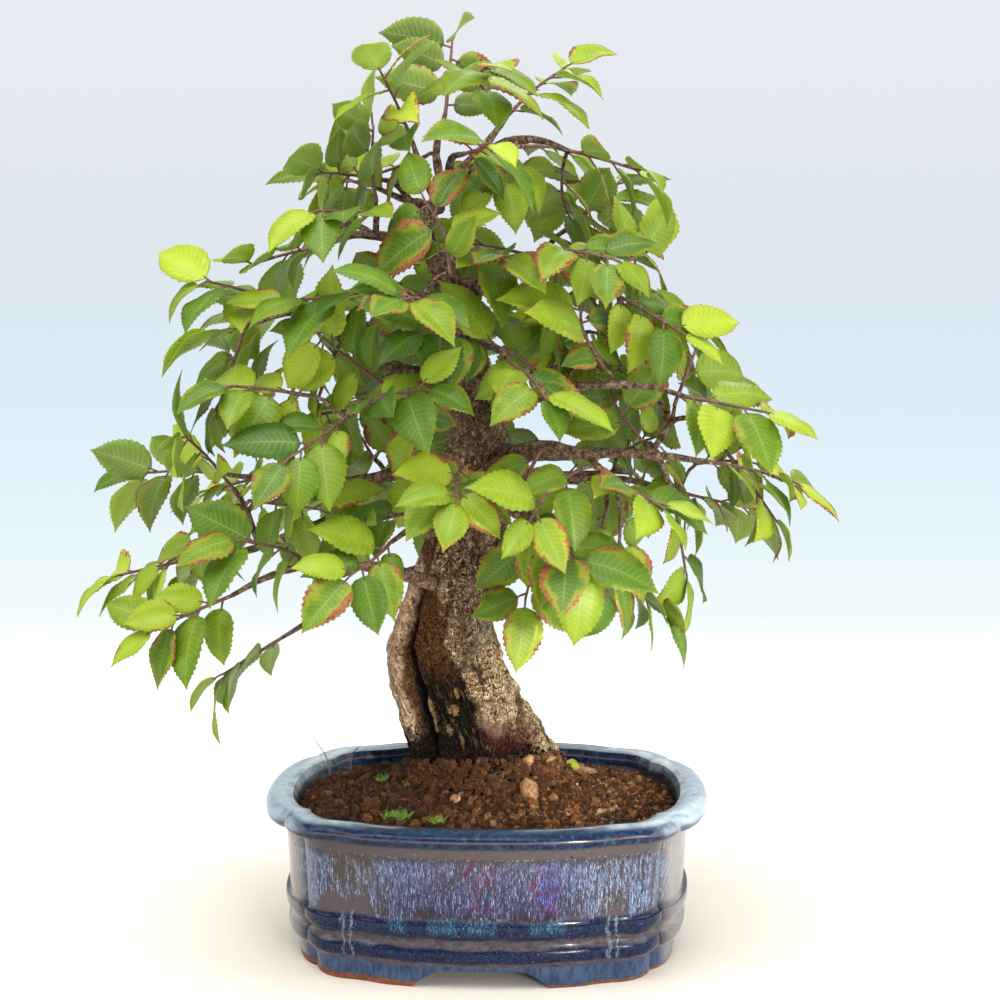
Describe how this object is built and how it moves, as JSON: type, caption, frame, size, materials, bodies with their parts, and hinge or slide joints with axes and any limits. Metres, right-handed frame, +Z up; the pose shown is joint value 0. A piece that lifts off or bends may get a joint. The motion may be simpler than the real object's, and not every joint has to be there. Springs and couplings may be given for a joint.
{
  "type": "potted hornbeam bonsai",
  "caption": "Small broadleaf tree with a gnarled, leaning trunk, spreading limbs and a rounded crown of toothed leaves, in a lobed glazed pot of granular soil.",
  "frame": {"origin": "on the table, under the middle of the whole object's bounding box", "axes": "+Z up, -Y towards the front shown in the picture, +X to the right as seen from the front, along the pot's long side"},
  "size_m": [0.3552, 0.2886, 0.4418],
  "materials": {
    "glaze": "glossy streaked blue glaze over brown",
    "soil": "matt reddish brown granules",
    "bark": "rough cracked bark",
    "leaf": "satin green, pleated between the veins",
    "net": "matt black"
  },
  "bodies": {
    "root": {"pot": "glaze", "soil": "soil", "wood": "bark", "drain_mesh_left": "net", "drain_mesh_right": "net", "spray_00": "leaf", "spray_01": "leaf", "spray_02": "leaf", "spray_03": "leaf", "spray_04": "leaf", "spray_05": "leaf", "spray_06": "leaf", "spray_07": "leaf", "spray_08": "leaf", "spray_09": "leaf", "spray_10": "leaf", "spray_11": "leaf", "spray_12": "leaf", "spray_13": "leaf", "spray_14": "leaf", "spray_15": "leaf", "spray_16": "leaf", "spray_17": "leaf", "spray_18": "leaf", "spray_19": "leaf", "spray_20": "leaf", "spray_21": "leaf", "spray_22": "leaf", "spray_23": "leaf", "spray_24": "leaf", "spray_25": "leaf", "spray_26": "leaf", "spray_27": "leaf", "spray_28": "leaf", "spray_29": "leaf", "spray_30": "leaf", "spray_31": "leaf", "spray_32": "leaf", "spray_33": "leaf", "spray_34": "leaf", "spray_35": "leaf", "spray_36": "leaf", "spray_37": "leaf", "spray_38": "leaf", "spray_39": "leaf", "spray_40": "leaf", "spray_41": "leaf", "spray_42": "leaf", "spray_43": "leaf", "spray_44": "leaf", "spray_45": "leaf", "spray_46": "leaf", "spray_47": "leaf", "spray_48": "leaf", "spray_49": "leaf", "spray_50": "leaf", "spray_51": "leaf", "spray_52": "leaf", "spray_53": "leaf"}
  },
  "joints": []
}
